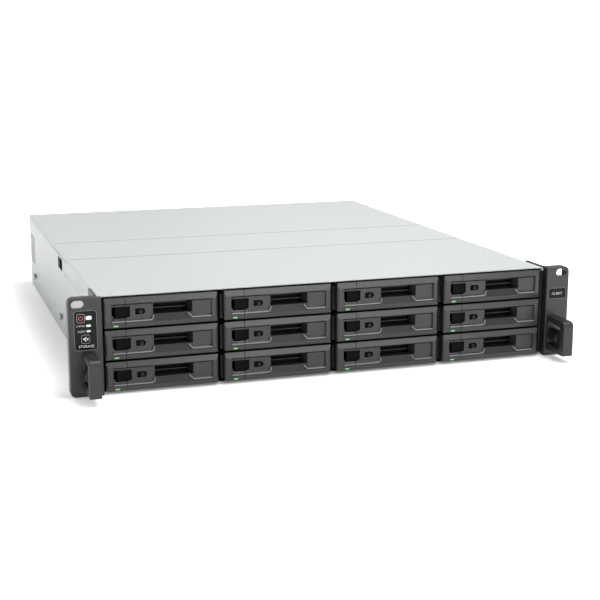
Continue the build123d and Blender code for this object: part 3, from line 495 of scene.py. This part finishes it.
# A light rim round the fascia, a painted highlight
bm = bmesh.new()
add_frame(bm, *grown(FASCIA_X, FASCIA_Z, 0.75), 3.1, 0.65, -0.16, 0.3)
from_bmesh("panel_rim_highlight", bm, RIM_HIGHLIGHT, "chassis")
for name, words, x, z, ink in (("panel_status_label", "STATUS", (-234.3, -226.6), 63.3, SILVER_INK),
                               ("panel_alert_label", "ALERT", (-233.2, -226.6), 58.5, SILVER_INK),
                               ("panel_word", "STORAGE", (-232.6, -219.4), 45.2, WHITE_INK)):
    lettering(name, words, x, z, LABEL_FACE, ink, "chassis")

power_middle = (sum(POWER_X) / 2, sum(POWER_Z) / 2)
bm = bmesh.new()
add_frame(bm, *grown(POWER_X, POWER_Z, -0.35), 1.7, 0.75, CAP_FACE - 0.12, CAP_FACE + 0.2)
from_bmesh("power_button_ring", bm, RING_INK, "power_button")
bm = bmesh.new()
add_stroke(bm, arc(*power_middle, 1.75, 38, 322), 0.75, CAP_FACE - 0.05, CAP_FACE + 0.2)
add_stroke(bm, [(power_middle[0], power_middle[1] + 0.3), (power_middle[0], power_middle[1] + 2.3)], 0.75,
           CAP_FACE - 0.05, CAP_FACE + 0.2)
from_bmesh("power_button_sign", bm, RED_INK, "power_button")

mute_x, mute_z = sum(MUTE_X) / 2, sum(MUTE_Z) / 2
bm = bmesh.new()
add_frame(bm, *grown(MUTE_X, MUTE_Z, -0.35), 1.7, 0.6, CAP_FACE - 0.12, CAP_FACE + 0.2)
from_bmesh("mute_button_ring", bm, RING_INK, "mute_button")
bm = bmesh.new()
SIGN_FRONT, SIGN_BACK = CAP_FACE - 0.05, CAP_FACE + 0.2
# Strokes that cross a neighbour stand a hair further out, so that their faces don't coincide.
CROSSING_FRONT = CAP_FACE - 0.06
add_plate(bm, (mute_x - 2.0, mute_x - 1.0), around(mute_z, 0.8), 0.1, SIGN_FRONT, SIGN_BACK, 0.05)
add_stroke(bm, [(mute_x - 0.9, mute_z), (mute_x + 0.3, mute_z + 1.9)], 0.8, SIGN_FRONT, SIGN_BACK)
add_stroke(bm, [(mute_x - 0.9, mute_z), (mute_x + 0.3, mute_z - 1.9)], 0.8, CROSSING_FRONT, SIGN_BACK)
add_stroke(bm, [(mute_x + 0.9, mute_z + 0.9), (mute_x + 2.3, mute_z - 0.9)], 0.5, SIGN_FRONT, SIGN_BACK)
add_stroke(bm, [(mute_x + 0.9, mute_z - 0.9), (mute_x + 2.3, mute_z + 0.9)], 0.5, CROSSING_FRONT, SIGN_BACK)
from_bmesh("mute_button_sign", bm, WHITE_INK, "mute_button")

# The name plate in the right ear
bm = bmesh.new()
add_plate(bm, *grown(PLATE_X, PLATE_Z, -0.1), 1.9, 0.35, PLATE_DEPTH - 0.05)
from_bmesh("name_plate", bm, GLOSS, "chassis")
# A light rim round the name plate, a painted highlight
bm = bmesh.new()
add_frame(bm, *grown(PLATE_X, PLATE_Z, 0.35), 2.3, 0.6, -0.14, 0.3)
from_bmesh("name_plate_rim_highlight", bm, RIM_HIGHLIGHT, "chassis")
lettering("name_plate_word", "12-BAY", (223.6, 234.6), sum(PLATE_Z) / 2, 0.34, SILVER_INK, "chassis")


# Thin beads painted bright along the foot of each pocket in the tray fronts, a painted highlight on the lips.
# The levers' beads turn up a round corner at their left pocket's end and slope up at the start of the right
# pocket.
for number, (x, z) in TRAY_CENTRES.items():
    low = z - 7.55
    bm = bmesh.new()
    add_highlight_bead(bm, [(x - 43.7, low), (x - 32.2, low)])
    from_bmesh(f"pocket_lip_highlight_{number:02d}", bm, LIP_HIGHLIGHT, f"tray_{number:02d}")
    bm = bmesh.new()
    add_highlight_bead(bm, [(x - 31.6, low)] + arc(x - 10.8, z - 4.2, 3.35, 180, 90, 6) + [(x - 7.45, z - 3.2)])
    add_highlight_bead(bm, [(x + 23.4, z - 3.4), (x + 27.5, low), (x + 44.2, low)])
    from_bmesh(f"lever_lip_highlight_{number:02d}", bm, LIP_HIGHLIGHT, f"tray_lever_{number:02d}")

# Dark strips in the seams of the top covers as painted shadow, a near white hem along the front and a ledge
# along each side as painted highlights, and dark sheets behind the side vents as painted shade
FRONT_SEAM, REAR_SEAM = (187.7, 188.6), (290.0, 290.9)
HEM_RADIUS, HEM_Y = 0.42, 12.0
bm = bmesh.new()
for seam in (FRONT_SEAM, REAR_SEAM):
    add_bar(bm, around(0, COVER_HALF - 1.6), seam, past(COVER_HEIGHT, -0.25, 0.04))
from_bmesh("cover_seam_shadows", bm, SEAM_SHADOW, "chassis")
bm = bmesh.new()
hem_z = COVER_HEIGHT - HEM_RADIUS
add_rod(bm, (1.2 - COVER_HALF, HEM_Y, hem_z), (COVER_HALF - 1.2, HEM_Y, hem_z), HEM_RADIUS)
from_bmesh("cover_hem_highlight", bm, EDGE_HIGHLIGHT, "chassis")
bm = bmesh.new()
for side in (-1, 1):
    ledge = sorted((side * COVER_HALF, side * (COVER_HALF + 0.35)))
    add_bar(bm, ledge, (30.0, 205.0), past(FLANGE_BOTTOM, 0.1, 1.5), 0.1)
from_bmesh("side_ledge_highlights", bm, EDGE_HIGHLIGHT, "chassis")
bm = bmesh.new()
for side in (-1, 1):
    screen = sorted((side * (COVER_HALF - 2.6), side * (COVER_HALF - 2.3)))
    add_bar(bm, screen, (465.0, 511.0), (29.0, 70.0), 0.1)
from_bmesh("side_vent_shade_sheets", bm, SLED_AND_SHADE, "chassis")

# The sockets at the back
NETWORK_X = (62.0, 44.0, 16.0)
USB_X, EXPANSION_X = -10.0, -42.0
USB_RISES = (1.8, 9.2)
PORT_LOW = 9.65
NETWORK_WIRES, NETWORK_PITCH = 8, 1.1
USB_WIRES, USB_PITCH = 4, 2.3
bm = bmesh.new()
for port_x in NETWORK_X:
    for wire in range(NETWORK_WIRES):
        wire_x = port_x - 3.85 + wire * NETWORK_PITCH
        add_bar(bm, around(wire_x, 0.28), past(REAR, -12.5, -3.0), past(PORT_LOW, 9.9, 10.4), 0.12)
from_bmesh("network_contacts", bm, GOLD, "chassis")
for name, offset, material in (("network_link_lights", -5.9, GREEN_GLOW),
                               ("network_speed_lights", 5.9, PALE_LENS)):
    bm = bmesh.new()
    for port_x in NETWORK_X:
        add_bar(bm, around(port_x + offset, 1.3), past(REAR, 0.2, 0.45), past(PORT_LOW, 11.3, 12.6), 0.1)
    from_bmesh(name, bm, material, "chassis")
bm = bmesh.new()
for rise in USB_RISES:
    add_bar(bm, around(USB_X, 5.2), past(REAR, -11.8, -1.0), past(PORT_LOW + rise, 2.4, 4.0), 0.3)
from_bmesh("usb_tongues", bm, BLUE_PLASTIC, "chassis")
bm = bmesh.new()
for rise in USB_RISES:
    for wire in range(USB_WIRES):
        wire_x = USB_X - 3.5 + wire * USB_PITCH
        add_bar(bm, around(wire_x, 0.5), past(REAR, -10.5, -2.0), past(PORT_LOW + rise, 2.2, 2.45), 0.08)
from_bmesh("usb_contacts", bm, GOLD, "chassis")
bm = bmesh.new()
add_bar(bm, around(EXPANSION_X, 10.4), past(REAR, -8.8, -1.5), past(PORT_LOW, 3.9, 5.1), 0.3)
from_bmesh("expansion_tongue", bm, SOCKET_AND_SHADE, "chassis")
for port_x in NETWORK_X:
    paint_within("rear_ports", SOCKET_AND_SHADE, (port_x - 6.0, REAR - 14.2, PORT_LOW + 2.1),
                 (port_x + 6.0, REAR + 0.25, PORT_LOW + 10.7))

# The power module's release tab, its mains inlet and pins, and the grooves of its fan grille, whose floors
# are painted dark as painted shade
INLET_X, INLET_Z = 180.0, 22.5
INLET_BOTTOM = REAR - 16.5
SUPPLY_BACK = REAR + 0.8
bm = bmesh.new()
add_plate(bm, (196.6, 203.4), (14.0, 31.0), 1.4, SUPPLY_BACK + 1.1, SUPPLY_BACK + 0.02)
from_bmesh("supply_release_tab", bm, GREEN_TAB, "chassis")
bm = bmesh.new()
add_frame(bm, around(INLET_X, 15.2), around(INLET_Z, 11.6), 3.6, 1.3, SUPPLY_BACK - 0.6, SUPPLY_BACK + 0.9)
from_bmesh("inlet_rim", bm, SOCKET_AND_SHADE, "chassis")
paint_within("power_supply", SOCKET_AND_SHADE, (INLET_X - 14, INLET_BOTTOM, INLET_Z - 10.4),
             (INLET_X + 14, SUPPLY_BACK + 0.05, INLET_Z + 10.4))
for pin_x, pin_z in ((-7, -2.2), (0, 2.2), (7, -2.2)):
    paint_within("power_supply", NICKEL, (INLET_X + pin_x - 2.1, INLET_BOTTOM, INLET_Z + pin_z - 1.1),
                 (INLET_X + pin_x + 2.1, REAR - 2, INLET_Z + pin_z + 1.1))
# The fan grille's groove floors are painted dark as painted shade
paint_within("power_supply", SOCKET_AND_SHADE, (113, REAR - 5.4, 4), (149, REAR - 5.0, 41))

# A plain label with a row of bars on each drive
LID_RISE = 13.12
LABEL_SPAN = ((-38, 26), (34, 96))
BAR_ALONG, BAR_COUNT, BAR_PITCH = (42, 54), 20, 2.6
BAR_WIDTHS = (0.8, 1.6, 1.1)
BAR_STARTS = [-32 + i * BAR_PITCH for i in range(BAR_COUNT)]
BARS = [((start, start + BAR_WIDTHS[i % 3]), BAR_ALONG) for i, start in enumerate(BAR_STARTS)]
for number, (x, z) in TRAY_CENTRES.items():
    lid = z + LID_RISE
    for name, spans, thick, material in (("drive_label", [LABEL_SPAN], 0.05, PAPER),
                                         ("drive_bars", BARS, 0.07, SOCKET_AND_SHADE)):
        bm = bmesh.new()
        for across, along in spans:
            add_bar(bm, (x + across[0], x + across[1]), along, (lid, lid + thick))
        from_bmesh(f"{name}_{number:02d}", bm, material, f"tray_{number:02d}")

# ---------------------------------------------------------------- floor, lights and camera

def floor_material():
    """White paper that is lit evenly further out, so that it runs into the white studio without an edge."""
    paper = finish_material("floor_paper", (0.90, 0.90, 0.90), 0.85, spread=0.004, patch=3.0, specular=0.1)
    tree = paper.node_tree
    shader = tree.nodes["Principled BSDF"]
    place = tree.nodes["Texture Coordinate"]
    reach = tree.nodes.new("ShaderNodeVectorMath")
    reach.operation = "LENGTH"
    tree.links.new(place.outputs["Object"], reach.inputs[0])
    fade = tree.nodes.new("ShaderNodeMapRange")
    fade.interpolation_type = "SMOOTHSTEP"
    fade.inputs["From Min"].default_value = 0.20
    fade.inputs["From Max"].default_value = 0.74
    fade.inputs["To Min"].default_value = 0.22
    fade.inputs["To Max"].default_value = 1.1
    tree.links.new(reach.outputs["Value"], fade.inputs["Value"])
    shader.inputs["Emission Color"].default_value = (1, 1, 1, 1)
    tree.links.new(fade.outputs["Result"], shader.inputs["Emission Strength"])
    return paper


floor_mesh = bpy.data.meshes.new("floor")
floor_mesh.from_pydata([(-4, -4, 0), (4, -4, 0), (4, 4, 0), (-4, 4, 0)], [], [(0, 1, 2, 3)])
floor = bpy.data.objects.new("floor", floor_mesh)
bpy.context.scene.collection.objects.link(floor)
floor_mesh.materials.append(floor_material())


def area_light(name, energy, size, place, aim):
    light = bpy.data.lights.new(name, "AREA")
    light.energy = energy
    light.size = size
    thing = bpy.data.objects.new(name, light)
    thing.location = place
    thing.rotation_euler = (Vector(aim) - Vector(place)).to_track_quat("-Z", "Y").to_euler()
    bpy.context.scene.collection.objects.link(thing)


area_light("overhead", 38.0, 1.0, (0.55, -0.42, 2.05), (0, 0.05, 0.05))
area_light("front", 14.0, 0.9, (0.62, -1.95, 1.1), (0, -0.2, 0.05))
area_light("left_top", 9.0, 0.8, (-1.9, 0.5, 1.3), (0, 0.1, 0.05))
area_light("behind", 0.8, 0.9, (0.95, 2.4, 0.70), (0, 0, 0.08))


SIDE_STEPS = ((0.0, 0.80), (0.03, 0.80), (0.10, 0.10), (0.42, 0.12), (0.72, 0.20), (1.0, 0.24))
BEHIND_STEPS = ((0.0, 0.80), (0.16, 0.70), (0.30, 0.42), (0.55, 0.20), (0.75, 0.20), (1.0, 0.24))


def brightness_ramp(tree, height, steps):
    """A brightness for each height in the sky. Each step is (sine of the elevation, brightness)."""
    ramp = tree.nodes.new("ShaderNodeValToRGB")
    elements = ramp.color_ramp.elements
    while len(elements) < len(steps):
        elements.new(0.5)
    for element, (position, value) in zip(elements, steps):
        element.position = position
        element.color = (value, value, value, 1)
    tree.links.new(height, ramp.inputs["Fac"])
    return ramp.outputs["Color"]


def studio_world():
    """A white studio: bright overhead and at the horizon, dim at the front and to the right in between."""
    world = bpy.data.worlds.new("studio")
    world.use_nodes = True
    tree = world.node_tree
    place = tree.nodes.new("ShaderNodeTexCoord")
    split = tree.nodes.new("ShaderNodeSeparateXYZ")
    tree.links.new(place.outputs["Generated"], split.inputs[0])
    sides = brightness_ramp(tree, split.outputs["Z"], SIDE_STEPS)
    behind = brightness_ramp(tree, split.outputs["Z"], BEHIND_STEPS)
    facing = tree.nodes.new("ShaderNodeMapRange")
    facing.interpolation_type = "SMOOTHSTEP"
    facing.inputs["From Min"].default_value = 0.1
    facing.inputs["From Max"].default_value = 0.75
    tree.links.new(split.outputs["Y"], facing.inputs["Value"])
    both = tree.nodes.new("ShaderNodeMix")
    both.data_type = "RGBA"
    tree.links.new(facing.outputs["Result"], both.inputs["Factor"])
    tree.links.new(sides, both.inputs["A"])
    tree.links.new(behind, both.inputs["B"])
    background = tree.nodes["Background"]
    tree.links.new(both.outputs["Result"], background.inputs["Color"])
    background.inputs["Strength"].default_value = 1.5
    bpy.context.scene.world = world


studio_world()
bpy.context.scene.view_settings.view_transform = "Standard"

CAMERA_PLACE = (-376.5, -1029.5, 307.5)
CAMERA_LENS = 74.03
CAMERA_PITCH, CAMERA_YAW = 12.20, 18.43
camera = bpy.data.objects.new("camera", bpy.data.cameras.new("camera"))
camera.data.lens = CAMERA_LENS
camera.data.sensor_width = 36.0
camera.location = at(*CAMERA_PLACE)
camera.rotation_euler = (math.radians(90 - CAMERA_PITCH), 0, math.radians(-CAMERA_YAW))
bpy.context.scene.collection.objects.link(camera)
bpy.context.scene.camera = camera
